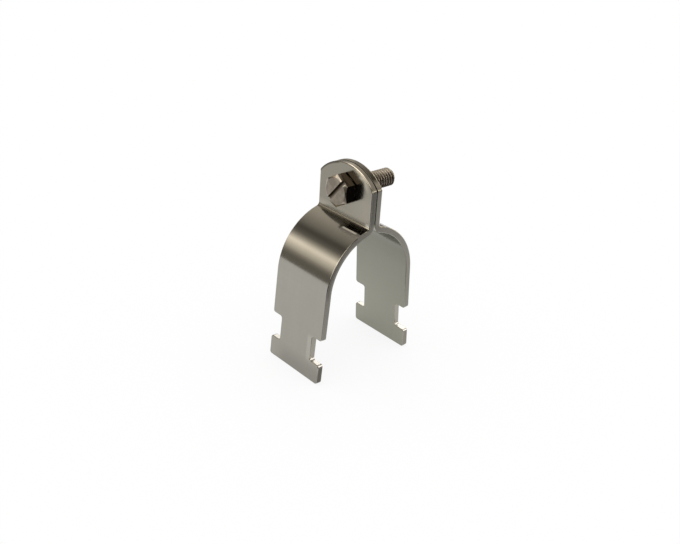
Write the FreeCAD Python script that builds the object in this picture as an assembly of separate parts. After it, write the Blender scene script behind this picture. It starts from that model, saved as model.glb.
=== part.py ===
"""Two-piece strut-channel clamp for a 1-1/2 inch rigid conduit, drawn up by its screw with no conduit in it.

Two equal straps of bent sheet stand ear to ear. Each has an ear with the screw hole, a seat that wraps about
a quarter of the conduit, a leg, and a T-shaped foot that hooks under the lips of a strut channel.

Frame, in millimetres: the feet stand on z = 0 with +Z up, X runs along the screw from its head to its tip,
Y runs along the conduit, and x = 0 is half way between the ears.
"""
import FreeCAD
import Part
import math
import os

from FreeCAD import Vector

# Conduit seat
conduit_diameter = 48.26
seat_axis_height = 39.2
ear_space_on_conduit = 5.7
ear_space_at_rest = 0.4

# Strap sheet, with the radius on the outside of the bend under the ear
strap_thickness = 2.66
strap_width = 31.75
bend_radius = 1.5
leg_splay_degrees = 4.1

# Foot that hooks into the channel, with heights along the leg
foot_height = 9.0
neck_height = 11.4
neck_width = 20.3
foot_corner_radius = 1.2
neck_corner_radius = 1.0

# Ear, with straight sides and a round crown that meets them at a corner
ear_side_height = 15.0
ear_crown_rise = 7.3
ear_corner_radius = 1.2
hole_below_crown = 10.9
hole_clearance = 0.5

# Screw, 5/16 inch by 1 inch under the head
screw_diameter = 7.94
screw_length = 25.4
screw_tip_chamfer = 0.9
head_flats = 12.4
head_height = 5.3
head_corner_chamfer = 1.5
head_turn_degrees = -1.0
slot_width = 1.9
slot_depth = 1.2
slot_turn_degrees = 50.0

# Thin hex nut
nut_flats = 12.7
nut_thickness = 4.76
nut_corner_chamfer = 0.9
nut_turn_degrees = 4.0
nut_thread_clearance = 0.05

# Fits, form angles, the overrun of each cut, and the share of a notch that a corner may take
seating_clearance = 0.05
hex_chamfer_degrees = 30.0
cut_margin = 1.0
corner_share = 0.45
same_place = 1e-6

# Places worked out from the sizes above
seat_radius = conduit_diameter / 2
back_radius = seat_radius + strap_thickness
seat_axis_x = (ear_space_at_rest - ear_space_on_conduit) / 2
ear_inner_x = ear_space_at_rest / 2
ear_outer_x = ear_inner_x + strap_thickness
bend_x = ear_outer_x + bend_radius
bend_z = seat_axis_height + math.sqrt((back_radius + bend_radius) ** 2 - (bend_x - seat_axis_x) ** 2)
leg_splay = math.radians(leg_splay_degrees)
leg_outward = Vector(math.cos(leg_splay), 0, math.sin(leg_splay))
leg_upward = Vector(-math.sin(leg_splay), 0, math.cos(leg_splay))
leg_top_z = seat_axis_height + seat_radius * math.sin(leg_splay)
foot_corner = Vector(seat_axis_x + seat_radius * math.cos(leg_splay) + leg_top_z * math.tan(leg_splay), 0, 0)
neck_top = foot_height + neck_height
notch_depth = (strap_width - neck_width) / 2
ear_corner_z = bend_z + ear_side_height
ear_crown_z = ear_corner_z + ear_crown_rise
screw_z = ear_crown_z - hole_below_crown
screw_radius = screw_diameter / 2
head_base_x = -ear_outer_x - seating_clearance
head_front_x = head_base_x - head_height
screw_tip_x = head_base_x + screw_length
nut_inner_x = ear_outer_x + seating_clearance
nut_outer_x = nut_inner_x + nut_thickness


def polar(centre_x, centre_z, radius, angle):
    """Point in the XZ plane at an angle above +X, in radians."""
    return Vector(centre_x + radius * math.cos(angle), 0, centre_z + radius * math.sin(angle))


def line(start, end):
    """Straight edge."""
    return Part.LineSegment(start, end).toShape()


def arc(start, middle, end):
    """Arc edge through three points."""
    return Part.Arc(start, middle, end).toShape()


def sheet_side(offset):
    """Corners of one side of the bent rear strap, from foot to crown: offset 0 is the conduit side."""
    seat_end = math.atan2(bend_z - seat_axis_height, bend_x - seat_axis_x)
    radius = seat_radius + offset
    bend = bend_radius + strap_thickness - offset
    foot = foot_corner + leg_outward * offset
    leg_top = polar(seat_axis_x, seat_axis_height, radius, leg_splay)
    seat_middle = polar(seat_axis_x, seat_axis_height, radius, (leg_splay + seat_end) / 2)
    seat_top = polar(seat_axis_x, seat_axis_height, radius, seat_end)
    bend_middle = polar(bend_x, bend_z, bend, math.pi + seat_end / 2)
    ear_base = polar(bend_x, bend_z, bend, math.pi)
    crown = Vector(ear_base.x, 0, ear_crown_z)
    return foot, leg_top, seat_middle, seat_top, bend_middle, ear_base, crown


def side_edges(points):
    """Edges of one side of the sheet: leg, seat, bend and ear."""
    foot, leg_top, seat_middle, seat_top, bend_middle, ear_base, crown = points
    return [
        line(foot, leg_top),
        arc(leg_top, seat_middle, seat_top),
        arc(seat_top, bend_middle, ear_base),
        line(ear_base, crown),
    ]


def bent_sheet():
    """Full-width bent sheet of the rear strap, before its outline is cut."""
    inner = sheet_side(0)
    outer = sheet_side(strap_thickness)
    edges = side_edges(inner) + [line(inner[-1], outer[-1])] + side_edges(outer) + [line(outer[0], inner[0])]
    section = Part.Face(Part.Wire(Part.__sortEdges__(edges)))
    section.translate(Vector(0, -strap_width / 2, 0))
    return section.extrude(Vector(0, strap_width, 0))


def crown_outline():
    """Prism along X of the full strap width with the ear's round top."""
    half = strap_width / 2
    reach = sheet_side(strap_thickness)[0].x + cut_margin
    low_left = Vector(0, -half, -cut_margin)
    low_right = Vector(0, half, -cut_margin)
    left = Vector(0, -half, ear_corner_z)
    right = Vector(0, half, ear_corner_z)
    edges = [
        line(low_left, low_right),
        line(low_right, right),
        arc(right, Vector(0, 0, ear_crown_z), left),
        line(left, low_left),
    ]
    return Part.Face(Part.Wire(edges)).extrude(Vector(reach, 0, 0))


def neck_notch(side):
    """Cut beside the neck, square to the leg, on the +Y (1) or -Y (-1) side."""
    depth = notch_depth + cut_margin
    low_y = min(side * neck_width / 2, side * (neck_width / 2 + depth))
    notch = Part.makeBox(strap_thickness + 2 * cut_margin, depth, neck_height)
    notch.translate(Vector(-cut_margin, low_y, foot_height))
    notch.rotate(Vector(0, 0, 0), Vector(0, 1, 0), -leg_splay_degrees)
    notch.translate(foot_corner)
    return notch


def round_corners(shape, corners, radius):
    """Rounds the edges through the sheet's thickness that start at the given corners of its conduit side."""
    edges = []
    for edge in shape.Edges:
        if abs(edge.Length - strap_thickness) > same_place:
            continue
        ends = [vertex.Point for vertex in edge.Vertexes]
        if any(end.distanceToPoint(corner) < same_place for end in ends for corner in corners):
            edges.append(edge)
    return shape.makeFillet(radius, edges)


def on_leg(y, height):
    """Point on the leg's conduit side, at a height along the leg."""
    return foot_corner + leg_upward * height + Vector(0, y, 0)


def along_screw(radius, start_x, end_x):
    """Cylinder on the screw's axis."""
    return Part.makeCylinder(radius, end_x - start_x, Vector(start_x, 0, screw_z), Vector(1, 0, 0))


def turned(profile):
    """Solid of revolution on the screw's axis, from (x, radius) corners that start and end on it."""
    points = [Vector(x, 0, screw_z + radius) for x, radius in profile]
    face = Part.Face(Part.makePolygon(points + points[:1]))
    return face.revolve(Vector(0, 0, screw_z), Vector(1, 0, 0), 360)


def hex_prism(flats, start_x, end_x, turn_degrees):
    """Hexagonal prism on the screw's axis, with a corner at the top when it isn't turned."""
    radius = flats / math.sqrt(3)
    points = []
    for step in range(6):
        angle = math.radians(90 + turn_degrees + 60 * step)
        points.append(Vector(start_x, radius * math.cos(angle), screw_z + radius * math.sin(angle)))
    return Part.Face(Part.makePolygon(points + points[:1])).extrude(Vector(end_x - start_x, 0, 0))


def make_strap():
    """Rear strap: bent sheet, cut to its outline, with rounded corners and the screw hole."""
    half = strap_width / 2
    neck = neck_width / 2
    sides = (-1, 1)
    strap = bent_sheet().common(crown_outline())
    for side in sides:
        strap = strap.cut(neck_notch(side))
    feet = [on_leg(side * half, height) for side in sides for height in (0, foot_height, neck_top)]
    necks = [on_leg(side * neck, height) for side in sides for height in (foot_height, neck_top)]
    ears = [Vector(ear_inner_x, side * half, ear_corner_z) for side in sides]
    strap = round_corners(strap, feet, min(foot_corner_radius, corner_share * notch_depth))
    strap = round_corners(strap, necks, min(neck_corner_radius, corner_share * notch_depth))
    strap = round_corners(strap, ears, ear_corner_radius)
    hole = along_screw(screw_radius + hole_clearance, ear_inner_x - cut_margin, ear_outer_x + cut_margin)
    return strap.cut(hole)


def make_screw():
    """Slotted hex-head screw. Its shank has the thread's outside diameter."""
    corner = head_flats / math.sqrt(3)
    chamfer_length = head_corner_chamfer * math.tan(math.radians(hex_chamfer_degrees))
    envelope = turned([
        (head_front_x, 0),
        (head_front_x, corner - head_corner_chamfer),
        (head_front_x + chamfer_length, corner),
        (head_base_x, corner),
        (head_base_x, 0),
    ])
    head = hex_prism(head_flats, head_front_x, head_base_x, head_turn_degrees).common(envelope)
    slot = Part.makeBox(slot_depth + cut_margin, 2 * head_flats, slot_width)
    slot.translate(Vector(head_front_x - cut_margin, -head_flats, screw_z - slot_width / 2))
    slot.rotate(Vector(0, 0, screw_z), Vector(1, 0, 0), -slot_turn_degrees)
    shank = turned([
        (head_base_x, 0),
        (head_base_x, screw_radius),
        (screw_tip_x - screw_tip_chamfer, screw_radius),
        (screw_tip_x, screw_radius - screw_tip_chamfer),
        (screw_tip_x, 0),
    ])
    return head.cut(slot).fuse(shank).removeSplitter()


def make_nut():
    """Thin hex nut, chamfered on both sides, with a plain bore that clears the thread."""
    corner = nut_flats / math.sqrt(3)
    chamfer_length = nut_corner_chamfer * math.tan(math.radians(hex_chamfer_degrees))
    envelope = turned([
        (nut_inner_x, 0),
        (nut_inner_x, corner - nut_corner_chamfer),
        (nut_inner_x + chamfer_length, corner),
        (nut_outer_x - chamfer_length, corner),
        (nut_outer_x, corner - nut_corner_chamfer),
        (nut_outer_x, 0),
    ])
    bore_radius = screw_radius + nut_thread_clearance
    bore = along_screw(bore_radius, nut_inner_x - cut_margin, nut_outer_x + cut_margin)
    return hex_prism(nut_flats, nut_inner_x, nut_outer_x, nut_turn_degrees).common(envelope).cut(bore)


def main():
    """Builds the four pieces and writes one file for each."""
    rear_strap = make_strap()
    pieces = {
        "front_strap": rear_strap.mirror(Vector(0, 0, 0), Vector(1, 0, 0)),
        "rear_strap": rear_strap,
        "clamp_screw": make_screw(),
        "clamp_nut": make_nut(),
    }
    os.makedirs("parts", exist_ok=True)
    for name, shape in pieces.items():
        shape.exportStep(f"parts/{name}.step")
        print(name, len(shape.Solids), shape.isValid(), round(shape.Volume, 2), shape.BoundBox)


main()
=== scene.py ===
"""Dressed conduit clamp: two bent straps, a slotted hex screw and a thin nut, in a plain white studio.

Sizes are in millimetres and repeat the part's own. Each mesh is scaled to metres when it becomes a piece.
"""
import logging
import math
from dataclasses import dataclass, replace
from enum import Enum
from functools import partial
from typing import Any, Iterable, Sequence

import bmesh
import bpy
from bmesh.types import BMEdge, BMesh, BMFace, BMVert
from bpy.types import Material, NodeSocket, NodeTree
from mathutils import Matrix, Vector


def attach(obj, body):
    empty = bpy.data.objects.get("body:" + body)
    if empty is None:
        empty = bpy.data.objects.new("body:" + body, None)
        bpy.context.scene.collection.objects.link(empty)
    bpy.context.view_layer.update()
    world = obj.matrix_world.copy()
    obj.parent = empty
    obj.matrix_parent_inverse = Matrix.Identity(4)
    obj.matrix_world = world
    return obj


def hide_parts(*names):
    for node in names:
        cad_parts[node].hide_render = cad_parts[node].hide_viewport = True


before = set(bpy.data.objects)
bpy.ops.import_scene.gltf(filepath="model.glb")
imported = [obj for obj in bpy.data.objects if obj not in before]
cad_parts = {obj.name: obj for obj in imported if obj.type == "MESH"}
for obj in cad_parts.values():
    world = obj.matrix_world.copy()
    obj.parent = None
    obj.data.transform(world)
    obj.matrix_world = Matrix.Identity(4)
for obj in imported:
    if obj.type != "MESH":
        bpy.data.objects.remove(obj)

LOG = logging.getLogger("clamp")
MM = 0.001
TINY = 1e-4
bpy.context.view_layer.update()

# Cosine above which a face counts as square to the screw.
FLAT = 0.999
HEAD_FRONT = -8.21
HEAD_BASE = -2.91
SLOT_WIDTH = 1.9
SLOT_TURN = math.radians(-50)
UPPER_FLAT_TURN = math.radians(120)
CHAMFER_SLOPE = math.tan(math.radians(30))

Pair = tuple[float, float]
Triple = tuple[float, float, float]
Colour = Triple
Stop = tuple[float, Colour]


class Side(Enum):
    """Which half of the clamp a strap is, by the sign of its X."""

    FRONT = -1
    REAR = 1


class Skin(Enum):
    """Material slots of a strap."""

    OUTSIDE = 0
    CONDUIT = 1
    SHEARED = 2


class Part(Enum):
    """Material slots of the screw and the nut."""

    STEEL = 0
    SLOT_WALL = 1


class Along(Enum):
    """What a fade runs along: an axis, or a distance that the finish measures."""

    X = "X"
    Y = "Y"
    Z = "Z"
    REACH = "from the plane midway along the conduit"
    RADIUS = "from the finish's axis"
    RISE = "above the screw's line"
    BELOW = "behind the cone of the head's chamfer"
    OUTWARD = "towards the head's upper flat"
    ACROSS = "across the slot"


@dataclass(frozen=True)
class Fade:
    """Smooth step, in millimetres, from nothing at its start to all at its end."""

    along: Along
    start: float
    end: float


# Makes a fade along each measure, in the order of the measures.
X, Y, Z, REACH, RADIUS, RISE, BELOW, OUTWARD, ACROSS = (partial(Fade, along) for along in Along)
ON_FRONT = X(0.4, -0.4)
ON_REAR = X(-0.4, 0.4)
ON_CROWN = Z(82.5, 84.0)
ON_ARC = (Z(37.0, 43.0), Z(65.5, 63.5))


@dataclass(frozen=True)
class Mark:
    """Patch of a surface, the product of its fades: what multiplies the colour there, and its share."""

    fades: tuple[Fade, ...]
    gain: float = 1.0
    share: float = 1.0


@dataclass(frozen=True)
class Noise:
    """Waves per metre along each axis, levels of detail, and how far the tone and the roughness swing."""

    waves: Triple
    detail: float
    tone: float = 0.0
    roughness: float = 0.0


class Value:
    """A node's output that takes part in Python arithmetic."""

    def __init__(self, graph: "Graph", socket: NodeSocket) -> None:
        """Keeps the graph that new nodes go to, and the socket."""
        self.graph = graph
        self.socket = socket

    def __add__(self, other: "Number") -> "Value":
        """Sum."""
        return self.graph.math("ADD", self, other)

    __radd__ = __add__

    def __sub__(self, other: "Number") -> "Value":
        """Difference."""
        return self.graph.math("SUBTRACT", self, other)

    def __rsub__(self, other: "Number") -> "Value":
        """Difference, with the number first."""
        return self.graph.math("SUBTRACT", other, self)

    def __mul__(self, other: "Number") -> "Value":
        """Product."""
        return self.graph.math("MULTIPLY", self, other)

    __rmul__ = __mul__

    def swing(self, size: float) -> "Value":
        """A noise from 0 to 1 made to swing about 0, over a size."""
        return (self - 0.5) * size


Number = float | Value


class Graph:
    """Adds nodes to one node tree, and keeps the measures that fades run along."""

    def __init__(self, tree: NodeTree) -> None:
        """Empties the tree and keeps it."""
        self.tree = tree
        self.measures: dict[Along, Value] = {}
        tree.nodes.clear()

    def node(self, kind: str, settings: dict[str, Any] | None = None,
             inputs: dict[Any, Any] | None = None, output: Any = 0) -> Value:
        """Adds one node.

        Args:
            kind: The node's type, without the ShaderNode in front.
            settings: Its properties, set before its sockets.
            inputs: Values or links by socket name or number.
            output: The output to return, by name or number.

        Returns:
            The chosen output, or None for a node that has none.
        """
        made = self.tree.nodes.new(f"ShaderNode{kind}")
        for key, setting in (settings or {}).items():
            setattr(made, key, setting)
        for key, given in (inputs or {}).items():
            if isinstance(given, Value):
                self.tree.links.new(given.socket, made.inputs[key])
            else:
                made.inputs[key].default_value = given
        return Value(self, made.outputs[output]) if len(made.outputs) else None

    def ramp(self, share: Value, stops: Sequence[Stop]) -> Value:
        """Adds a colour ramp.

        Args:
            share: Where on the ramp, from 0 to 1.
            stops: Positions and colours, in order of position.

        Returns:
            The colour.
        """
        colour = self.node("ValToRGB", inputs={0: share})
        elements = colour.socket.node.color_ramp.elements
        while len(elements) < len(stops):
            elements.new(1.0)
        for element, (position, shade) in zip(elements, stops):
            element.position = position
            element.color = (*shade, 1.0)
        return colour

    def math(self, operation: str, *values: Number) -> Value:
        """Adds a Math node on up to three values."""
        return self.node("Math", {"operation": operation}, dict(enumerate(values)))

    def hypot(self, first: Value, second: Value) -> Value:
        """Length of a line from its two legs."""
        return self.math("SQRT", first * first + second * second)

    def mix(self, share: Number, low: Any, high: Any, blend: str = "MIX") -> Value:
        """Mixes two colours, from low at 0 to high at 1, or blends the high one in by another rule."""
        low, high = ((*c, 1.0) if isinstance(c, tuple) else c for c in (low, high))
        # Sockets 6 and 7 of this node are its colours, and output 2 is their mix.
        return self.node("Mix", {"data_type": "RGBA", "blend_type": blend}, {0: share, 6: low, 7: high}, 2)

    def span(self, value: Number, start: float, end: float) -> Value:
        """Smooth step from 0 at start to 1 at end."""
        return self.node("MapRange", {"interpolation_type": "SMOOTHSTEP"},
                         {"Value": value, "From Min": start, "From Max": end})

    def ray(self, kind: str) -> Value:
        """Whether a ray of this kind meets the surface."""
        return self.node("LightPath", output=f"Is {kind} Ray")

    def place(self) -> Value:
        """Object coordinates in metres."""
        return self.node("TexCoord", output="Object")

    def axes(self, vector: Value) -> list[Value]:
        """A vector's X, Y and Z."""
        return [self.node("SeparateXYZ", inputs={0: vector}, output=axis) for axis in "XYZ"]

    def patch(self, mark: Mark) -> Value:
        """Where a mark lies, from 0 to 1."""
        steps = [self.span(self.measures[fade.along], fade.start * MM, fade.end * MM) for fade in mark.fades]
        return math.prod(steps[1:], start=steps[0])

    def paint(self, colour: Any, *tints: Sequence[Any]) -> Value:
        """Lays tints over a colour.

        Args:
            colour: The colour below.
            tints: Each a colour and its marks, of which the first one's gain counts, in order.

        Returns:
            The colour with all of them.
        """
        for base, *marks in tints:
            shares = [self.patch(mark) * mark.share for mark in marks]
            colour = self.mix(sum(shares[1:], start=shares[0]), colour, shaded(base, marks[0].gain))
        return colour

    def noise(self, noise: Noise) -> Value:
        """Noise from 0 to 1."""
        waves = self.node("Mapping", inputs={"Vector": self.place(), "Scale": noise.waves})
        return self.node("TexNoise", inputs={"Vector": waves, "Scale": 1.0, "Detail": noise.detail})

    def metal(self, colour: Any, roughness: Number, height: Value, depth: float, glance: float = 1.0,
              bare: Number = 1.0) -> None:
        """Ends the graph in a metal surface.

        Args:
            colour: Reflected colour.
            roughness: Roughness.
            height: Surface relief from 0 to 1.
            depth: What a relief of 1 stands for, in metres.
            glance: How much of a glancing ray it reflects.
            bare: Share of bare metal, the rest being scuffed to a dull grey.
        """
        bump = self.node("Bump", inputs={"Strength": 1.0, "Distance": depth, "Height": height})
        surface = self.node("BsdfPrincipled", inputs={
            "Base Color": colour, "Metallic": bare, "Roughness": roughness, "Normal": bump,
            "Specular Tint": (glance, glance, glance, 1.0)})
        self.node("OutputMaterial", inputs={"Surface": surface})


def new_material(name: str) -> tuple[Material, Graph, list[Value]]:
    """Makes a node material without a surface.

    Args:
        name: Its name.

    Returns:
        The material, its graph, and X, Y and Z, which are among the graph's measures.
    """
    material = bpy.data.materials.new(name)
    material.use_nodes = True
    graph = Graph(material.node_tree)
    axes = graph.axes(graph.place())
    graph.measures.update(zip(Along, axes))
    return material, graph, axes


def shaded(colour: Colour, share: float) -> Colour:
    """A colour multiplied by a share."""
    return tuple(part * share for part in colour)


@dataclass(frozen=True)
class RolledSheet:
    """Polished stainless sheet: fine rolling lines along the strap, slight waviness, and a duller ear."""

    name: str
    colour: Colour
    ear_colour: Colour
    roughness: float
    ear_roughness: float
    glance: float = 1.0
    relief: float = 1.2e-5
    line_relief: float = 0.06
    dull_roughness: float = 0.2
    mean_tone: float = 0.14
    tone_gain: float = 0.8
    hub_height: float = 68.0
    scuff_grime: float = 0.8
    # Colours of the painted reflection on the die mark, and of the bright painted reflection line along it.
    die_mark_reflection_colour: Colour = (0.19, 0.17, 0.14)
    painted_reflection_line_colour: Colour = (0.58, 0.52, 0.41)
    lines: Noise = Noise((70.0, 2600.0, 70.0), 4.0, roughness=0.05)
    clouds: Noise = Noise((85.0, 85.0, 85.0), 2.0, tone=0.3, roughness=0.06)
    streaks: Noise = Noise((30.0, 420.0, 30.0), 3.0, tone=0.24)
    ripples: Noise = Noise((700.0, 24.0, 700.0), 3.0, tone=0.3)
    ear: Mark = Mark((Z(64.7, 65.8),))
    # Painted light: the ear lighter towards negative Y and lower down, and lighter again near its foot.
    ear_painted_light: Mark = Mark((Y(6.0, -14.0), Z(84.0, 73.0)), 1.24)
    ear_low_painted_light: Mark = Mark((Z(70.0, 67.5),), 1.3)
    dull: Mark = Mark((Z(65.0, 65.3), Z(66.8, 66.3), Y(-14.6, -10.0)), 0.92)
    # Painted highlight: a bright patch at the negative-Y end of the bend under the ear.
    painted_bend_highlight: Mark = Mark((Z(65.5, 66.1), Z(67.6, 66.8), Y(-12.6, -14.6)), 2.2)
    # Painted highlights on the front strap's rolled side rims, brighter on the ear, and on the necks' rolled
    # edges.
    rim: Mark = Mark((REACH(15.5, 15.62), X(1.5, 0.5), Z(63.0, 61.5)), 1.7)
    ear_rim_highlight: Mark = Mark((REACH(15.5, 15.62), X(1.5, 0.5), Z(66.0, 66.8)), 2.7)
    neck: Mark = Mark((REACH(9.8, 9.92), Z(9.6, 10.4), Z(19.9, 19.2)), share=0.6)
    # Painted light: a lighter band on the neck near its negative-Y edge.
    painted_neck_light: Mark = Mark((Y(-7.0, -8.2), Z(7.0, 10.0), Z(21.5, 19.0)), 1.16)
    # Painted shadow: a dark line along the bottom edge that stands on the floor.
    sole_contact_shadow: Mark = Mark((Z(0.7, 0.3),), 0.35)
    # Painted light: a lighter patch on the ear just below the crown, towards negative Y.
    crown_painted_light: Mark = Mark((RADIUS(17.2, 19.0), Y(-3.5, -6.5), Y(-15.0, -10.0), Z(78.5, 80.0)), 1.9)
    # Painted shadow: a dark line along the crown's rim towards positive Y.
    crown: Mark = Mark((RADIUS(19.9, 20.3), Y(3.0, 6.0), Z(80.0, 81.2)), 0.45)
    # A die mark on the seat just below the bend, towards negative Y, scuffed to less metal; its brown colour
    # and the bright line along its edge are a painted reflection.
    die_mark_and_reflection: Mark = Mark((Z(63.15, 63.35), Z(64.2, 64.05), Y(-4.0, -5.2)))
    painted_reflection_line: Mark = Mark((*die_mark_and_reflection.fades, Z(63.75, 63.85), Y(-4.6, -5.6), Y(-14.0, -12.6)))
    # Painted shade: the foot darker low down, except towards its positive-Y end.
    foot: Mark = Mark((Z(11.0, 3.0), Y(14.0, 4.0)), 0.83)

    def material(self) -> Material:
        """Builds the node material.

        Returns:
            The material.
        """
        material, graph, (_, y, z) = new_material(self.name)
        reach = graph.math("ABSOLUTE", y)
        radius = graph.hypot(reach, z - self.hub_height * MM)
        graph.measures |= {Along.REACH: reach, Along.RADIUS: radius}
        lines = graph.noise(self.lines)
        clouds = graph.noise(self.clouds)
        sheet, ear = self.colour, self.ear_colour
        ear_share = graph.patch(self.ear)
        colour = graph.mix(ear_share, sheet, graph.paint(ear, (ear, self.ear_painted_light), (ear, self.ear_low_painted_light)))
        tone = clouds.swing(self.clouds.tone) + self.mean_tone
        for noise in (self.streaks, self.ripples):
            tone = tone + graph.noise(noise).swing(noise.tone)
        colour = graph.mix(tone, colour, shaded(sheet, self.tone_gain))
        colour = graph.paint(colour, (ear, self.dull), (sheet, self.painted_bend_highlight), (sheet, self.rim, self.neck),
                             (sheet, self.ear_rim_highlight))
        painted_neck_light = graph.patch(self.painted_neck_light) * (1.0 - graph.patch(self.neck))
        colour = graph.mix(painted_neck_light, colour, shaded(sheet, self.painted_neck_light.gain))
        colour = graph.paint(colour, (sheet, self.sole_contact_shadow), (ear, self.crown_painted_light), (ear, self.crown),
                             (self.die_mark_reflection_colour, self.die_mark_and_reflection), (self.painted_reflection_line_colour, self.painted_reflection_line),
                             (sheet, self.foot))
        roughness = self.roughness + (self.ear_roughness - self.roughness) * ear_share
        roughness = roughness + self.dull_roughness * graph.patch(self.dull)
        roughness = roughness + lines.swing(self.lines.roughness) + clouds.swing(self.clouds.roughness)
        bare = 1.0 - self.scuff_grime * graph.patch(self.die_mark_and_reflection)
        graph.metal(colour, roughness, self.line_relief * lines + clouds, self.relief, self.glance, bare)
        return material


@dataclass(frozen=True)
class ShearedEdge:
    """Cut edge of the sheet: dull and patchy, with tearing at the crown, with painted light and shade over it
    along the legs, arcs, foot, ears and crown, and a bright painted highlight on a burnish line along the
    front crown.
    """

    name: str
    colour: Colour
    torn_and_shade_colour: Colour
    burnished_highlight_colour: Colour
    shoulder_highlight_colour: Colour
    roughness: float
    relief: float = 1.0e-5
    seat_shift: float = 2.65
    seat_height: float = 39.2
    patch_gain: float = 0.78
    burnished_smoothness: float = 0.14
    drag: Noise = Noise((900.0, 900.0, 900.0), 4.0, roughness=0.16)
    patches: Noise = Noise((260.0, 260.0, 260.0), 2.0)
    # Painted light and shade on the cut edge: lighter on the front leg, lighter on the inner part of the
    # front arc and a little on the rear arc, darker on the outer part of the front arc.
    leg: Mark = Mark((Z(20.5, 22.0), Z(42.0, 38.0), ON_FRONT), 1.25, 0.6)
    rear_arc: Mark = Mark((*ON_ARC, ON_REAR), share=0.1)
    inner_arc: Mark = Mark((*ON_ARC, ON_FRONT, RADIUS(25.4, 24.5), Z(62.0, 58.0)), share=1.5)
    outer_arc: Mark = Mark((*ON_ARC, ON_FRONT, RADIUS(25.4, 26.0), Z(55.0, 52.0)), share=0.2)
    # Painted light on the edges under the neck and on the top faces of the foot's steps, painted shade on the
    # front foot's and the front ear's edges, and the rear ear's edges lighter.
    neck: Mark = Mark((Z(21.4, 20.6), REACH(12.0, 11.6)), 1.3)
    shoulder_highlight: Mark = Mark((Z(8.2, 8.6), Z(10.0, 9.5)))
    foot: Mark = Mark((Z(8.2, 7.2), ON_FRONT), share=0.58)
    front_ear: Mark = Mark((Z(65.5, 68.0), ON_FRONT), share=0.3)
    rear_ear: Mark = Mark((Z(65.5, 68.0), ON_REAR), 1.7, 0.36)
    # Tearing at the crown with painted shade: the crown's edge darker towards negative Y and at the rear
    # ear's corner, and darkest on the rear crown.
    crown_right: Mark = Mark((ON_CROWN, Y(3.0, -5.5), Y(-13.5, -9.5)), share=0.8)
    rear_corner: Mark = Mark((Z(80.8, 81.4), Z(84.0, 82.5), ON_REAR), share=0.4)
    rear_crown: Mark = Mark((ON_CROWN, Y(4.0, -2.0), Y(-15.5, -11.5), ON_REAR), 0.5)
    # A smoother burnish line along the front crown's outer side; its bright colour is a painted highlight.
    burnished_highlight: Mark = Mark((ON_CROWN, X(-2.0, -2.3)))

    def material(self) -> Material:
        """Builds the node material.

        Returns:
            The material.
        """
        material, graph, (x, y, z) = new_material(self.name)
        arm = graph.math("ABSOLUTE", x) + self.seat_shift * MM
        radius = graph.hypot(arm, z - self.seat_height * MM)
        graph.measures |= {Along.REACH: graph.math("ABSOLUTE", y), Along.RADIUS: radius}
        drag = graph.noise(self.drag)
        edge, torn_and_shade = self.colour, self.torn_and_shade_colour
        colour = graph.mix(graph.noise(self.patches), shaded(edge, self.patch_gain), edge)
        colour = graph.paint(
            colour, (edge, self.leg, self.rear_arc, self.inner_arc), (torn_and_shade, self.outer_arc),
            (edge, self.neck), (self.shoulder_highlight_colour, self.shoulder_highlight), (torn_and_shade, self.foot, self.front_ear),
            (edge, self.rear_ear), (torn_and_shade, self.crown_right, self.rear_corner), (torn_and_shade, self.rear_crown),
            (self.burnished_highlight_colour, self.burnished_highlight))
        roughness = self.roughness + drag.swing(self.drag.roughness)
        roughness = roughness - self.burnished_smoothness * graph.patch(self.burnished_highlight)
        graph.metal(colour, roughness, drag, self.relief)
        return material


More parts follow.
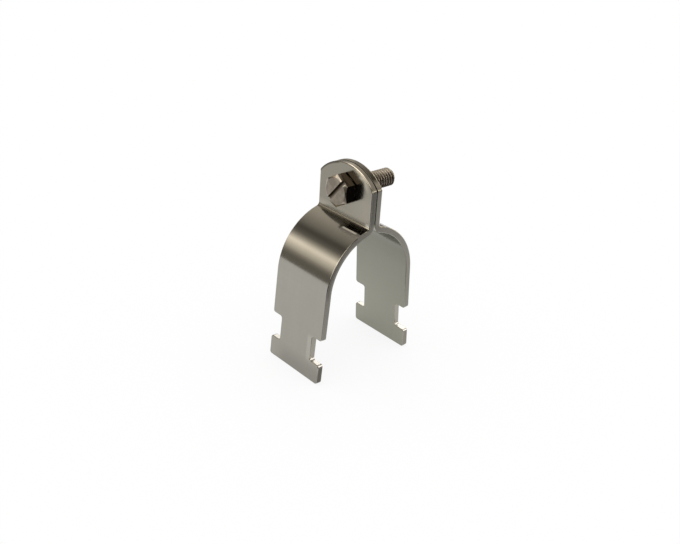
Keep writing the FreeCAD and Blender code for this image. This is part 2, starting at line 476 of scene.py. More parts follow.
@dataclass(frozen=True)
class ScrewSteel:
    """Cold-formed screw steel with a browner, blotched head, and darker, browner thread roots; painted
    highlights on the crests and the head's chamfer, and painted shade on the thread's lower side and the
    head's flats.
    """

    name: str
    colour: Colour
    head_colour: Colour
    groove_colour: Colour
    roughness: float
    axis_height: float
    relief: float = 1.5e-5
    head_end: float = -2.9
    tip_start: float = 22.4
    bore_radius: float = 4.2
    face_radius: float = 5.66
    groove_roughness: float = 0.15
    shank_roughness: float = 0.1
    grain_gain: float = 0.7
    grain: Noise = Noise((500.0, 500.0, 500.0), 4.0, tone=0.3, roughness=0.1)
    blotches: Noise = Noise((340.0, 340.0, 340.0), 2.0)
    blotch_span: Pair = (0.38, 0.64)
    blotch_gains: Pair = (0.84, 1.14)
    # The thread's roots take the darker, browner groove colour.
    flank: Mark = Mark((RADIUS(3.2, 3.75),))
    # Painted highlight: the thread's crests lighter.
    crest: Mark = Mark((RADIUS(3.75, 3.9),), 1.7)
    # Painted shade: the thread darker on its lower side.
    lower_thread_shade: Mark = Mark((RISE(-0.6, -2.4),), 0.5)
    # The chamfer in plain head colour, with a painted highlight on it towards negative Y.
    chamfer: Mark = Mark((RADIUS(5.66, 5.78), BELOW(0.15, 0.05)))
    chamfer_highlight: Mark = Mark((Y(3.0, 0.0),), 1.9)
    # Painted highlight: a bright strip on the chamfer at the upper flat's front edge.
    sliver_highlight: Mark = Mark((OUTWARD(4.9, 5.15), BELOW(0.15, 0.05), RISE(2.0, 3.4), Y(2.2, 0.2)), 1.9)
    # Painted shade: the head's flats darker, and the upper flat darker still near the front face.
    facet_shade: Mark = Mark((RADIUS(6.0, 6.1), BELOW(0.05, 0.2)), 0.38)
    upper_flat_front_shade: Mark = Mark((*facet_shade.fades, OUTWARD(5.95, 6.05), BELOW(2.3, 1.7)), 0.14)

    def material(self) -> Material:
        """Builds the node material.

        Returns:
            The material.
        """
        material, graph, (x, y, z) = new_material(self.name)
        rise = z - self.axis_height * MM
        radius = graph.hypot(y, rise)
        cone = (HEAD_FRONT - CHAMFER_SLOPE * self.face_radius) * MM
        below = x - CHAMFER_SLOPE * radius - cone
        outward = math.sin(UPPER_FLAT_TURN) * rise + math.cos(UPPER_FLAT_TURN) * y
        graph.measures |= {Along.RISE: rise, Along.RADIUS: radius, Along.BELOW: below, Along.OUTWARD: outward}
        head = graph.math("LESS_THAN", x, self.head_end * MM)
        tip = graph.math("GREATER_THAN", x, self.tip_start * MM)
        undarkened = graph.math("MAXIMUM", graph.math("MAXIMUM", graph.patch(self.flank), head), tip)
        thread = graph.math("LESS_THAN", radius, self.bore_radius * MM) * (1.0 - tip)
        grain = graph.noise(self.grain)
        colour = graph.mix(undarkened, self.groove_colour, self.colour)
        for base, mark in ((self.colour, self.crest), (self.groove_colour, self.lower_thread_shade)):
            colour = graph.mix(graph.patch(mark) * thread, colour, shaded(base, mark.gain))
        colour = graph.mix(head, colour, self._head(graph))
        colour = graph.mix(self.grain.tone * grain, colour, shaded(self.head_colour, self.grain_gain))
        roughness = self.roughness + self.groove_roughness * (1.0 - undarkened)
        roughness = roughness + self.shank_roughness * (1.0 - head) + grain.swing(self.grain.roughness)
        graph.metal(colour, roughness, grain, self.relief)
        return material

    def _head(self, graph: Graph) -> Value:
        """Colours the head: blotched face, painted highlights on the chamfer and at the upper flat's front
        edge, and painted shade on the flats.

        Args:
            graph: The material's graph, with its measures set.

        Returns:
            The colour.
        """
        steel = self.head_colour
        blotches = graph.span(graph.noise(self.blotches), *self.blotch_span)
        colour = graph.mix(blotches, *(shaded(steel, gain) for gain in self.blotch_gains))
        colour = graph.mix(graph.patch(self.chamfer), colour, graph.paint(steel, (steel, self.chamfer_highlight)))
        return graph.paint(colour, (self.colour, self.sliver_highlight), (steel, self.facet_shade), (steel, self.upper_flat_front_shade))


@dataclass(frozen=True)
class SlotShade:
    """Painted shade in the screw's slot: dark brown, darkest under its upper wall."""

    name: str
    colour: Colour
    undarkened_colour: Colour
    roughness: float
    axis_height: float
    relief: float = 1.0e-5
    specks: Noise = Noise((1500.0, 1500.0, 1500.0), 3.0, roughness=0.2)
    speck_gains: Pair = (0.5, 1.5)
    # Lighter away from the upper wall, where the painted shade thins out.
    undarkened: Mark = Mark((ACROSS(0.4 * SLOT_WIDTH, -0.6 * SLOT_WIDTH),))

    def material(self) -> Material:
        """Builds the node material.

        Returns:
            The material.
        """
        material, graph, (_, y, z) = new_material(self.name)
        rise = z - self.axis_height * MM
        graph.measures[Along.ACROSS] = rise * math.cos(SLOT_TURN) - y * math.sin(SLOT_TURN)
        specks = graph.noise(self.specks)
        colour = graph.mix(specks, *(shaded(self.colour, gain) for gain in self.speck_gains))
        colour = graph.paint(colour, (self.undarkened_colour, self.undarkened))
        graph.metal(colour, self.roughness + specks.swing(self.specks.roughness), specks, self.relief)
        return material


def of_type(kind: type, geometry: Iterable[Any]) -> list[Any]:
    """Picks the vertices, edges or faces out of an operator's result."""
    return [item for item in geometry if isinstance(item, kind)]


def round_corners(bm: BMesh, corners: Sequence[BMVert], reach: float, segments: int = 6) -> None:
    """Rounds corners of a flat outline, with the arc's ends at a reach along each edge."""
    bmesh.ops.bevel(bm, geom=corners, offset=reach, offset_type="OFFSET", segments=segments, profile=0.5,
                    affect="VERTICES", material=-1)


def round_edges(bm: BMesh, edges: Sequence[BMEdge], width: float, segments: int) -> list[BMFace]:
    """Rounds edges of a solid and returns the new faces."""
    return bmesh.ops.bevel(bm, geom=edges, offset=width, offset_type="OFFSET", segments=segments, profile=0.5,
                           affect="EDGES", material=-1, loop_slide=True, clamp_overlap=True)["faces"]


def sharp(edges: Iterable[BMEdge], degrees: float) -> list[BMEdge]:
    """Edges between two faces that turn by more than an angle."""
    limit = math.radians(degrees)
    return [edge for edge in edges if edge.is_manifold and edge.calc_face_angle() > limit]


def open_edges(bm: BMesh) -> list[BMEdge]:
    """Edges with a face on one side only."""
    return [edge for edge in bm.edges if edge.is_boundary]


def at_x(edges: Iterable[BMEdge], x: float) -> list[BMEdge]:
    """Edges that start at an X."""
    return [edge for edge in edges if abs(edge.verts[0].co.x - x) < TINY]


def around(faces: Iterable[BMFace]) -> list[Any]:
    """Faces with their edges and vertices."""
    return list(dict.fromkeys(item for face in faces for item in (face, *face.edges, *face.verts)))


def cut(bm: BMesh, faces: Iterable[BMFace], point: Sequence[float], normal: Sequence[float] = (1, 0, 0),
        near: float = TINY / 10, **clear: bool) -> list[BMEdge]:
    """Cuts faces along a plane, which is square to the screw if no normal is given.

    Args:
        bm: The mesh.
        faces: What is cut.
        point: A point of the plane.
        normal: The plane's normal.
        near: Distance within which a vertex is on the plane.
        clear: clear_inner or clear_outer, to take that side away.

    Returns:
        The edges of the cut.
    """
    made = bmesh.ops.bisect_plane(bm, geom=around(faces), dist=near, plane_co=point, plane_no=normal, **clear)
    return of_type(BMEdge, made["geom_cut"])


def fill_between(bm: BMesh, edges: Sequence[BMEdge]) -> list[BMFace]:
    """Fills a flat region between closed loops and returns its faces."""
    made = bmesh.ops.triangle_fill(bm, edges=edges, use_beauty=True, use_dissolve=False)
    return of_type(BMFace, made["geom"])


def assign(faces: Iterable[BMFace], slot: Enum) -> None:
    """Gives faces a material slot."""
    for face in faces:
        face.material_index = slot.value


def open_face(bm: BMesh, face: BMFace) -> list[BMEdge]:
    """Takes a face out.

    Args:
        bm: The mesh.
        face: The face.

    Returns:
        The edges around it.
    """
    edges = list(face.edges)
    bmesh.ops.delete(bm, geom=[face], context="FACES_ONLY")
    return edges


@dataclass
class Piece:
    """Piece of the clamp: its name, the CAD node it stands for, its body and its slot."""

    name: str
    node: str
    body: str
    slot: str

    def shape(self, bm: BMesh) -> None:
        """Forms the piece in an empty mesh, in millimetres."""
        raise NotImplementedError

    def build(self, materials: Sequence[Material]) -> None:
        """Makes the piece and puts it on its body.

        Args:
            materials: Its material slots.
        """
        bm = bmesh.new()
        self.shape(bm)
        bmesh.ops.scale(bm, vec=(MM, MM, MM), verts=bm.verts)
        bmesh.ops.recalc_face_normals(bm, faces=bm.faces)
        for face in bm.faces:
            face.smooth = True
        loose = sum(1 for edge in bm.edges if not edge.is_manifold)
        mesh = bpy.data.meshes.new(self.name)
        bm.to_mesh(mesh)
        bm.free()
        for material in materials:
            mesh.materials.append(material)
        piece = bpy.data.objects.new(self.name, mesh)
        bpy.context.scene.collection.objects.link(piece)
        piece.modifiers.new("even_shading", "WEIGHTED_NORMAL").keep_sharp = True
        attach(piece, self.body)
        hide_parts(self.node)
        LOG.info("%s: %d faces, %d open edges", self.name, len(mesh.polygons), loose)


@dataclass
class Strap(Piece):
    """One half of the clamp: ear, seat, leg and T-shaped foot, bent from one strip of sheet."""

    side: Side
    conduit_radius: float = 24.13
    seat_shift: float = 2.65
    seat_height: float = 39.2
    thickness: float = 2.66
    width: float = 31.75
    ear_gap: float = 0.4
    bend_radius: float = 1.5
    splay: float = math.radians(4.1)
    foot_height: float = 9.0
    neck_height: float = 11.4
    neck_width: float = 20.3
    foot_corner: float = 1.2
    neck_corner: float = 1.0
    ear_side: float = 15.0
    crown_rise: float = 7.3
    ear_corner: float = 1.2
    hole_drop: float = 10.9
    hole_radius: float = 4.47
    hole_edge: float = 0.25
    rolled_edge: float = 0.36
    burr_edge: float = 0.12
    edge_steps: int = 5
    sharp_turn: float = 40.0
    ear_start: float = 2.0
    mouth_inset: float = 0.29
    seat_steps: int = 72
    bend_steps: int = 14
    crown_steps: int = 48
    corner_steps: int = 4
    hole_steps: int = 64

    @property
    def bend_x(self) -> float:
        """X of the bend's axis on the rear strap."""
        return self.ear_gap / 2 + self.thickness + self.bend_radius

    @property
    def bend_z(self) -> float:
        """Height of the bend's axis."""
        reach = self.conduit_radius + self.thickness + self.bend_radius
        return self.seat_height + math.sqrt(reach ** 2 - (self.bend_x + self.seat_shift) ** 2)

    @property
    def seat_end(self) -> float:
        """Angle above the horizontal at which the seat ends and the bend starts."""
        return math.atan2(self.bend_z - self.seat_height, self.bend_x + self.seat_shift)

    @property
    def hole_z(self) -> float:
        """Height of the screw hole."""
        return self.bend_z + self.ear_side + self.crown_rise - self.hole_drop

    def shape(self, bm: BMesh) -> None:
        """Bends, cuts and pierces the strap, always as the rear one, and mirrors it for the front.

        Args:
            bm: An empty mesh.
        """
        self._ear(bm, self._bends(bm, self._leg(bm)))
        self._thicken(bm)
        self._hole(bm)
        bmesh.ops.scale(bm, vec=(self.side.value, 1, 1), verts=bm.verts)

    def _leg(self, bm: BMesh) -> BMEdge:
        """Draws the flat leg, neck and foot.

        Args:
            bm: An empty mesh.

        Returns:
            The edge that the seat starts from.
        """
        half, neck = self.width / 2, self.neck_width / 2
        lean, fall = math.sin(self.splay), math.cos(self.splay)
        top_x = self.conduit_radius * fall - self.seat_shift
        top_z = self.seat_height + self.conduit_radius * lean
        end = top_z / fall
        foot = end - self.foot_height
        notch = foot - self.neck_height
        side = [(half, 0), (half, notch), (neck, notch), (neck, foot), (half, foot), (half, end)]
        outline = side + [(-y, drop) for y, drop in reversed(side)]
        verts = [bm.verts.new((top_x + drop * lean, y, top_z - drop * fall)) for y, drop in outline]
        bm.faces.new(verts)
        low = [vert for vert in verts if vert.co.z < top_z - TINY]
        inner = [vert for vert in low if abs(vert.co.y) < half - TINY]
        outer = [vert for vert in low if vert not in inner]
        round_corners(bm, outer, self.foot_corner)
        round_corners(bm, inner, self.neck_corner)
        return next(e for e in bm.edges if all(v.co.z > top_z - TINY for v in e.verts))

    def _bends(self, bm: BMesh, edge: BMEdge) -> BMEdge:
        """Sweeps the seat and the bend under the ear.

        Args:
            bm: The mesh.
            edge: The leg's top edge.

        Returns:
            The ear's bottom edge.
        """
        seat_axis = Vector((-self.seat_shift, 0, self.seat_height))
        bend_axis = Vector((self.bend_x, 0, self.bend_z))
        turns = ((seat_axis, self.splay - self.seat_end, self.seat_steps),
                 (bend_axis, self.seat_end, self.bend_steps))
        for centre, angle, steps in turns:
            made = bmesh.ops.spin(bm, geom=[edge, *edge.verts], cent=centre, axis=(0, 1, 0), angle=angle,
                                  steps=steps)
            edge = of_type(BMEdge, made["geom_last"])[0]
        return edge

    def _ear(self, bm: BMesh, edge: BMEdge) -> None:
        """Draws the ear up to its round crown.

        Args:
            bm: The mesh.
            edge: The ear's bottom edge.
        """
        half = self.width / 2
        corner_z = self.bend_z + self.ear_side
        crown_radius = (half ** 2 + self.crown_rise ** 2) / (2 * self.crown_rise)
        crown_z = corner_z + self.crown_rise - crown_radius
        made = bmesh.ops.extrude_edge_only(bm, edges=[edge])["geom"]
        bmesh.ops.translate(bm, verts=of_type(BMVert, made), vec=(0, 0, self.ear_side))
        top = [e for e in of_type(BMEdge, made) if all(v.co.z > corner_z - TINY for v in e.verts)]
        bmesh.ops.subdivide_edges(bm, edges=top, cuts=self.crown_steps - 1)
        crown = [vert for vert in bm.verts if vert.co.z > corner_z - TINY]
        for vert in crown:
            vert.co.z = crown_z + math.sqrt(crown_radius ** 2 - vert.co.y ** 2)
        corners = [vert for vert in crown if abs(vert.co.y) > half - TINY]
        turn = math.pi / 2 - math.asin(half / crown_radius)
        round_corners(bm, corners, self.ear_corner * math.tan(turn / 2), self.corner_steps)

    def _thicken(self, bm: BMesh) -> None:
        """Gives the sheet its thickness, names its skins and rounds its cut edges.

        Args:
            bm: The mesh, one sheet of faces on the conduit's side.
        """
        bmesh.ops.recalc_face_normals(bm, faces=bm.faces)
        leg = max(bm.faces, key=lambda face: face.calc_area())
        if leg.normal.x < 0:
            bmesh.ops.reverse_faces(bm, faces=bm.faces)
        conduit = set(bm.verts)
        bmesh.ops.solidify(bm, geom=bm.faces[:], thickness=-self.thickness)
        for face in bm.faces:
            if conduit.issuperset(face.verts):
                assign([face], Skin.CONDUIT)
            else:
                assign([face], Skin.OUTSIDE if conduit.isdisjoint(face.verts) else Skin.SHEARED)
        edges = sharp(bm.edges, self.sharp_turn)
        burr = [edge for edge in edges if conduit.issuperset(edge.verts)]
        rolled = [edge for edge in edges if conduit.isdisjoint(edge.verts)]
        assign(round_edges(bm, rolled, self.rolled_edge, self.edge_steps), Skin.OUTSIDE)
        assign(round_edges(bm, burr, self.burr_edge, self.edge_steps), Skin.CONDUIT)

    def _hole(self, bm: BMesh) -> None:
        """Pierces the ear for the screw, with broken edges.

        Args:
            bm: The mesh, a solid.
        """
        inner = self.ear_gap / 2
        outer = inner + self.thickness
        radius, edge = self.hole_radius, self.hole_edge
        foot = self.bend_z + self.ear_start
        ears = [f for f in bm.faces if abs(f.normal.x) > FLAT and f.calc_center_median().z > foot]
        rims = [(Skin(face.material_index), open_face(bm, face)) for face in ears]
        corner = self.mouth_inset * edge
        profile = [(outer, radius + edge), (outer - corner, radius + corner), (outer - edge, radius),
                   (inner + edge, radius), (inner + corner, radius + corner), (inner, radius + edge)]
        wall = set(lathe(bm, profile, self.hole_z, self.hole_steps))
        assign(wall, Skin.SHEARED)
        mouths = [e for e in open_edges(bm) if all(v.link_faces[0] in wall for v in e.verts)]
        for skin, rim in rims:
            mouth = at_x(mouths, rim[0].verts[0].co.x)
            assign(fill_between(bm, rim + mouth), skin)


def lathe(bm: BMesh, profile: Sequence[Pair], height: float, steps: int, turns: int = 1,
          pitch: float = 0.0) -> list[BMFace]:
    """Turns a profile round the screw's line.

    Args:
        bm: The mesh.
        profile: Pairs of X and radius.
        height: Z of the screw's line.
        steps: Faces in one turn.
        turns: How many turns.
        pitch: Advance along X in one turn, for a thread.

    Returns:
        The new faces.
    """
    before = set(bm.faces)
    verts = [bm.verts.new((x, 0, height + radius)) for x, radius in profile]
    edges = [bm.edges.new(pair) for pair in zip(verts, verts[1:])]
    bmesh.ops.spin(bm, geom=verts + edges, cent=(0, 0, height), axis=(1, 0, 0), dvec=(pitch / steps, 0, 0),
                   angle=2 * math.pi * turns, steps=steps * turns, use_merge=not pitch)
    return [face for face in bm.faces if face not in before]


@dataclass
class Thread:
    """Right-hand thread of 18 turns to the inch round the screw's line."""

    height: float
    pitch: float = 25.4 / 18
    crest_radius: float = 3.97
    depth: float = 0.84
    crest_share: float = 0.14
    root_share: float = 0.2
    crest_round: float = 0.1
    crest_trim: float = 0.03
    start: float = -5.0
    turn_steps: int = 40

    def sweep(self, bm: BMesh, end: float, clearance: float = 0.0) -> list[BMFace]:
        """Winds the thread from its start to an end.

        Args:
            bm: The mesh.
            end: X that the winding reaches at least.
            clearance: Radius added all round, for a nut.

        Returns:
            The new faces.
        """
        before = set(bm.faces)
        crest = self.crest_radius + clearance
        root = crest - self.depth
        half_root = self.root_share / 2
        flank = (1 - self.crest_share - self.root_share) / 2
        rise = [(0, root), (half_root, root),
                (half_root + flank * (1 - self.crest_round), crest - self.crest_round * self.depth),
                (half_root + flank + self.crest_trim, crest)]
        shares = rise + [(1 - share, radius) for share, radius in reversed(rise)]
        profile = [(self.start + share * self.pitch, radius) for share, radius in shares]
        turns = math.ceil((end - self.start) / self.pitch) + 1
        faces = lathe(bm, profile, self.height, self.turn_steps, turns, self.pitch)
        bmesh.ops.remove_doubles(bm, verts=of_type(BMVert, around(faces)), dist=TINY)
        return [face for face in bm.faces if face not in before]


@dataclass
class HexForm:
    """Chamfered hexagon round the screw's line."""

    height: float
    flats: float
    corner_chamfer: float
    turn: float
    washer_radius: float = 0.0
    washer_height: float = 0.55
    stock: float = 0.2
    steps: int = 120
    edge_steps: int = 2
    sharp_turn: float = 25.0

    @property
    def face_radius(self) -> float:
        """Radius of the round face inside the chamfer."""
        return self.flats / math.sqrt(3) - self.corner_chamfer

    def shape(self, bm: BMesh, low: float, high: float, both: bool) -> None:
        """Turns the blank and cuts its six flats.

        Args:
            bm: An empty mesh.
            low: X of the chamfered face.
            high: X of the other face.
            both: Whether the other face is chamfered as well.
        """
        corner = self.flats / math.sqrt(3) + self.stock
        chamfer = (corner - self.face_radius) * CHAMFER_SLOPE
        profile = [(low, self.face_radius), (low + chamfer, corner)]
        if both:
            profile += [(high - chamfer, corner), (high, self.face_radius)]
        else:
            under = high - self.washer_height
            profile += [(under, corner), (under, self.washer_radius), (high, self.washer_radius)]
        lathe(bm, profile, self.height, self.steps)
        bmesh.ops.holes_fill(bm, edges=open_edges(bm), sides=0)
        bmesh.ops.recalc_face_normals(bm, faces=bm.faces)
        for step in range(6):
            angle = UPPER_FLAT_TURN + math.radians(self.turn) + step * math.pi / 3
            normal = Vector((0, math.cos(angle), math.sin(angle)))
            point = Vector((0, 0, self.height)) + normal * self.flats / 2
            edges = cut(bm, bm.faces, point, normal, TINY, clear_outer=True)
            bmesh.ops.contextual_create(bm, geom=edges)

    def break_edges(self, bm: BMesh, width: float) -> None:
        """Rounds all sharp edges a little."""
        round_edges(bm, sharp(bm.edges, self.sharp_turn), width, self.edge_steps)


@dataclass
class Screw(Piece):
    """Slotted hex-head screw with a full thread."""

    form: HexForm
    thread: Thread
    tip: float = 22.49
    tip_chamfer: float = 0.9
    slot_depth: float = 1.2
    edge: float = 0.14

    def shape(self, bm: BMesh) -> None:
        """Forms the head, cuts its slot and winds the thread.

        Args:
            bm: An empty mesh.
        """
        self.form.shape(bm, HEAD_FRONT, HEAD_BASE, both=False)
        self._slot(bm)
        bmesh.ops.recalc_face_normals(bm, faces=bm.faces)
        self.form.break_edges(bm, self.edge)
        self._shank(bm)

    def _slot(self, bm: BMesh) -> None:
        """Cuts the slot across the head.

        Args:
            bm: The mesh, a solid hexagon.
        """
        centre = Vector((0, 0, self.form.height))
        across = Vector((0, -math.sin(SLOT_TURN), math.cos(SLOT_TURN)))
        floor_x = HEAD_FRONT + self.slot_depth
        half = SLOT_WIDTH / 2
        planes = ((centre + across * half, across), (centre - across * half, across),
                  (Vector((floor_x, 0, 0)), Vector((1, 0, 0))))
        for point, normal in planes:
            cut(bm, bm.faces, point, normal, TINY)
        inside = []
        for face in bm.faces:
            middle = face.calc_center_median()
            if middle.x < floor_x and abs((middle - centre).dot(across)) < half:
                inside.append(face)
        bmesh.ops.delete(bm, geom=inside, context="FACES")
        rim = open_edges(bm)
        floor = [edge for edge in rim if all(v.co.x > floor_x - TINY for v in edge.verts)]
        for sign in (1, -1):
            plane = centre + across * sign * half
            wall = [e for e in rim if all(abs((v.co - plane).dot(across)) < TINY for v in e.verts)]
            ends = dict.fromkeys(v for e in wall for v in e.verts if v.co.x > floor_x - TINY)
            base = bm.edges.new(list(ends))
            floor.append(base)
            assign(bmesh.ops.contextual_create(bm, geom=wall + [base])["faces"], Part.SLOT_WALL)
        assign(bmesh.ops.contextual_create(bm, geom=floor)["faces"], Part.SLOT_WALL)

    def _shank(self, bm: BMesh) -> None:
        """Winds the thread on under the head and chamfers its tip.

        Args:
            bm: The mesh, the finished head.
        """
        under = max(bm.faces, key=lambda face: face.calc_center_median().x + face.normal.x)
        rim = open_edges(bm) + open_face(bm, under)
        cone = self.tip - self.tip_chamfer
        cut(bm, self.thread.sweep(bm, self.tip), (HEAD_BASE, 0, 0), clear_inner=True)
        cut(bm, self._behind_head(bm), (self.tip, 0, 0), clear_outer=True)
        cut(bm, self._behind_head(bm), (cone, 0, 0))
        axis = Vector((0, 0, self.form.height))
        for vert in bm.verts:
            limit = self.thread.crest_radius - max(0.0, vert.co.x - cone)
            arm = Vector((0, vert.co.y, vert.co.z)) - axis
            if vert.co.x > cone and arm.length > limit:
                vert.co = Vector((vert.co.x, 0, 0)) + axis + arm * (limit / arm.length)
        end = [e for e in open_edges(bm) if all(v.co.x > self.tip - TINY for v in e.verts)]
        bmesh.ops.contextual_create(bm, geom=end)
        mouth = [e for e in open_edges(bm) if e not in rim]
        bmesh.ops.bridge_loops(bm, edges=rim + mouth)

    @staticmethod
    def _behind_head(bm: BMesh) -> list[BMFace]:
        """Faces past the head's base."""
        return [face for face in bm.faces if face.calc_center_median().x > HEAD_BASE]


@dataclass
class Nut(Piece):
    """Thin hex nut, chamfered on both sides, with its own thread."""

    form: HexForm
    thread: Thread
    inner: float = 2.91
    outer: float = 7.67
    clearance: float = 0.05
    countersink: float = 0.35
    mouth_radius: float = 4.35
    sink_radius: float = 4.05
    edge: float = 0.12
    face_area: float = 20.0

    def shape(self, bm: BMesh) -> None:
        """Forms the hexagon and taps it.

        Args:
            bm: An empty mesh.
        """
        self.form.shape(bm, self.inner, self.outer, both=True)
        self.form.break_edges(bm, self.edge)
        bmesh.ops.remove_doubles(bm, verts=bm.verts[:], dist=10 * TINY)
        faces = [f for f in bm.faces if abs(f.normal.x) > FLAT and f.calc_area() > self.face_area]
        rims = {f.calc_center_median().x: open_face(bm, f) for f in faces}
        low, high = self.inner + self.countersink, self.outer - self.countersink
        cut(bm, self.thread.sweep(bm, self.outer, self.clearance), (low, 0, 0), clear_inner=True)
        bore = [face for face in bm.faces if all(map(self._in_bore, face.verts))]
        cut(bm, bore, (high, 0, 0), clear_outer=True)
        bore_mouths = [e for e in open_edges(bm) if all(map(self._in_bore, e.verts))]
        for x, depth_x in ((self.inner, low), (self.outer, high)):
            sink = lathe(bm, [(x, self.mouth_radius), (depth_x, self.sink_radius)], self.form.height,
                         self.form.steps)
            edges = [edge for edge in of_type(BMEdge, around(sink)) if edge.is_boundary]
            border = at_x(edges, x) + rims[min(rims, key=lambda at: abs(at - x))]
            for edge in border:
                edge.smooth = False
            fill_between(bm, border)
            fill_between(bm, at_x(edges, depth_x) + at_x(bore_mouths, depth_x))

    def _in_bore(self, vert: BMVert) -> bool:
        """Whether a vertex lies within the bore."""
        return math.hypot(vert.co.y, vert.co.z - self.form.height) < self.mouth_radius


@dataclass(frozen=True)
class Lamp:
    """Soft round light far away: where it stands, how bright it is, and the angles at which it fades."""

    direction: Triple
    light: float
    full: float
    faded: float


@dataclass
class Studio:
    """White board, a dim room with long soft lights along the conduit, and the camera, all in metres."""

    board: tuple[float, ...] = (-0.42, 0.42, -0.6, 0.8)
    # X and Y of the way to the camera, and where along it each dimming starts and ends, and its shade.
    camera_way: Pair = (-0.55, -0.835)
    dimmings: tuple[Triple, ...] = ((0.024, 0.060, 0.3), (0.090, 0.150, 0.05))
    board_glow: float = 0.85
    board_shine: float = 0.55
    room_light: float = 4.0
    strip_share: float = 0.5
    clip_start: float = 0.01
    lens: float = 48.11
    sensor: float = 36.0
    camera_place: Triple = (-0.238654, -0.251543, 0.217998)
    camera_forward: Triple = (0.60777, 0.64765, -0.45952)
    camera_up: Triple = (0.26537, 0.37976, 0.88621)
    lamp_tint: Colour = (1.0, 0.92, 0.8)
    # Degrees from the front over the top, and how bright the strips are there.
    room: tuple[Pair, ...] = (
        (-180, 0.27), (-9, 0.25), (6, 0.23), (10, 0.28), (15, 0.48), (20, 0.82), (26, 1.15), (31, 1.5),
        (35.5, 1.8), (39, 1.3), (43.5, 0.78), (48, 0.42), (52, 0.22), (62, 0.115), (67, 0.15), (73, 0.28),
        (82, 0.39), (90, 0.48), (98, 0.58), (115, 0.66), (122, 0.5), (128, 0.32), (135, 0.6), (143, 0.75),
        (152, 0.6), (173, 0.27), (180, 0.27))
    lamps: tuple[Lamp, ...] = (
        Lamp((-0.93, 0.2, 0.31), 2.0, 6, 12), Lamp((0.632, 0.41, 0.657), 1.9, 15, 24),
        Lamp((0.632, -0.12, 0.76), 0.75, 12, 22), Lamp((0.632, -0.7, 0.335), 3.4, 10, 20),
        Lamp((-0.632, 0.025, 0.775), 1.3, 14, 26), Lamp((0.98, -0.03, 0.17), 2.4, 14, 26))
    # How far a direction leans along the conduit, and what multiplies the strips there.
    sides: tuple[Pair, ...] = (
        (-1.0, 0.13), (-0.6, 0.16), (-0.3, 0.28), (0.0, 0.45), (0.1, 0.45), (0.62, 0.5), (0.72, 0.62),
        (0.85, 0.36), (1.0, 0.3))

    def build(self) -> None:
        """Sets the board, the room's light and the camera."""
        self._board()
        self._room()
        self._camera()
        bpy.context.scene.view_settings.view_transform = "Standard"

    def _board(self) -> None:
        """White board under the clamp. Metal sees it dim towards the camera."""
        bm = bmesh.new()
        left, right, near, far = self.board
        middle = Matrix.Translation(((left + right) / 2, (near + far) / 2, 0))
        size = Matrix.Diagonal((right - left, far - near, 1, 1))
        bmesh.ops.create_grid(bm, x_segments=1, y_segments=1, size=0.5, matrix=middle @ size)
        mesh = bpy.data.meshes.new("board")
        bm.to_mesh(mesh)
        bm.free()
        board = bpy.data.objects.new("board", mesh)
        bpy.context.scene.collection.objects.link(board)
        material, graph, (x, y, _) = new_material("white_board")
        glossy = graph.ray("Glossy")
        seen = graph.ray("Camera") + graph.ray("Transmission")
        nearness = x * self.camera_way[0] + y * self.camera_way[1]
        colour = (1.0, 1.0, 1.0)
        for start, end, shade in self.dimmings:
            colour = graph.mix(graph.span(nearness, start, end) * glossy, colour, (shade,) * 3)
        paper = graph.node("BsdfDiffuse", inputs={"Color": colour})
        glow = graph.node("Emission", inputs={"Color": colour, "Strength": 1.0})
        share = graph.math("MINIMUM", seen, 1.0) * self.board_glow + glossy * self.board_shine
        surface = graph.node("MixShader", inputs={0: share, 1: paper, 2: glow})
        graph.node("OutputMaterial", inputs={"Surface": surface})
        mesh.materials.append(material)

    def _room(self) -> None:
        """Plain white light, with strip lights and dim walls that only metal sees."""
        world = bpy.data.worlds.new("studio")
        bpy.context.scene.world = world
        world.use_nodes = True
        graph = Graph(world.node_tree)
        direction = graph.node("TexCoord", output="Generated")
        x, y, z = graph.axes(direction)
        around_y = graph.math("ARCTAN2", z, -1.0 * x) * (0.5 / math.pi) + 0.5
        tint = shaded(self.lamp_tint, self.strip_share)
        strips = graph.ramp(around_y, [(turn / 360 + 0.5, shaded(tint, light)) for turn, light in self.room])
        side = graph.ramp(y * 0.5 + 0.5, [(share / 2 + 0.5, (light,) * 3) for share, light in self.sides])
        strips = graph.mix(1.0, strips, side, "MULTIPLY")
        for lamp in self.lamps:
            axis = Vector(lamp.direction).normalized()
            facing = graph.node("VectorMath", {"operation": "DOT_PRODUCT"}, {0: direction, 1: axis}, "Value")
            faded, full = (math.cos(math.radians(angle)) for angle in (lamp.faded, lamp.full))
            glow = shaded(self.lamp_tint, lamp.light / self.room_light)
            strips = graph.mix(graph.span(facing, faded, full), strips, glow, "ADD")
        colour = graph.mix(graph.ray("Glossy"), (1 / self.room_light,) * 3, strips)
        light = graph.node("Background", inputs={"Color": colour, "Strength": self.room_light})
        graph.node("OutputWorld", inputs={"Surface": light})

    def _camera(self) -> None:
        """Camera at the photograph's place."""
        data = bpy.data.cameras.new("camera")
        data.lens = self.lens
        data.sensor_width = self.sensor
        data.sensor_fit = "HORIZONTAL"
        data.clip_start = self.clip_start
        camera = bpy.data.objects.new("camera", data)
        forward = Vector(self.camera_forward).normalized()
        right = forward.cross(Vector(self.camera_up)).normalized()
        up = right.cross(forward)
        turn = Matrix((right, up, -forward)).transposed().to_4x4()
        camera.matrix_world = Matrix.Translation(self.camera_place) @ turn
        bpy.context.scene.collection.objects.link(camera)
        bpy.context.scene.camera = camera


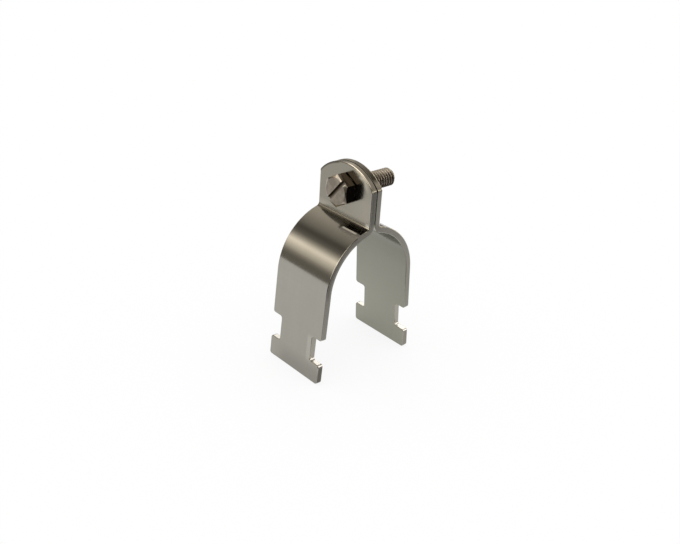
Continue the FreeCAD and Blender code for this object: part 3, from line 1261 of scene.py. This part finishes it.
def main() -> None:
    """Builds and dresses each piece, then the studio."""
    logging.basicConfig(level=logging.INFO, format="%(name)s %(message)s")
    outside = RolledSheet("polished_sheet", (0.352, 0.338, 0.298), (0.268, 0.246, 0.2), 0.14, 0.2)
    # The conduit side has painted light and shade too: lighter low down and above about Z 50 to 62, painted
    # highlights on its ear rims and neck edges, and painted shade at the crown.
    conduit = RolledSheet("mill_sheet", (0.248, 0.246, 0.208), (0.37, 0.36, 0.3), 0.15, 0.2, glance=0.7,
                          ear=Mark((Z(50.0, 62.0),)), foot=Mark((Z(53.0, 10.0),), 1.34),
                          rim=replace(RolledSheet.rim, gain=2.4, share=0.0),
                          ear_rim_highlight=replace(RolledSheet.ear_rim_highlight, gain=2.4),
                          crown=Mark((RADIUS(19.9, 20.3), Z(80.0, 81.2)), 0.3),
                          crown_painted_light=replace(RolledSheet.crown_painted_light, gain=1.0))
    sheared = ShearedEdge("sheared_edge", (0.285, 0.27, 0.236), torn_and_shade_colour=(0.055, 0.048, 0.037),
                          burnished_highlight_colour=(0.6, 0.57, 0.52), shoulder_highlight_colour=(0.57, 0.58, 0.59),
                          roughness=0.3)
    skins = [finish.material() for finish in (outside, conduit, sheared)]
    front = Strap("front_strap_bent", "front_strap", "front_half", "strap_steel", Side.FRONT)
    rear = Strap("rear_strap_bent", "rear_strap", "rear_half", "strap_steel", Side.REAR, burr_edge=0.22)
    for strap in (front, rear):
        strap.build(skins)
    height = front.hole_z
    thread = Thread(height)
    steel = ScrewSteel("screw_steel", (0.26, 0.24, 0.212), head_colour=(0.235, 0.2, 0.16),
                       groove_colour=(0.12, 0.1, 0.085), roughness=0.16, axis_height=height)
    slot_painted_shade = SlotShade("slot_shade", (0.05, 0.036, 0.022), steel.head_colour, 0.3, height)
    fasteners = [steel.material(), slot_painted_shade.material()]
    head_form = HexForm(height, flats=12.4, corner_chamfer=1.5, turn=-1.0, washer_radius=5.7)
    nut_form = HexForm(height, flats=12.7, corner_chamfer=0.9, turn=4.0)
    Screw("slotted_screw", "clamp_screw", "screw", "screw_steel", head_form, thread).build(fasteners)
    Nut("thin_nut", "clamp_nut", "rear_half", "screw_steel", nut_form, thread).build(fasteners)
    Studio().build()


if __name__ == "__main__":
    main()
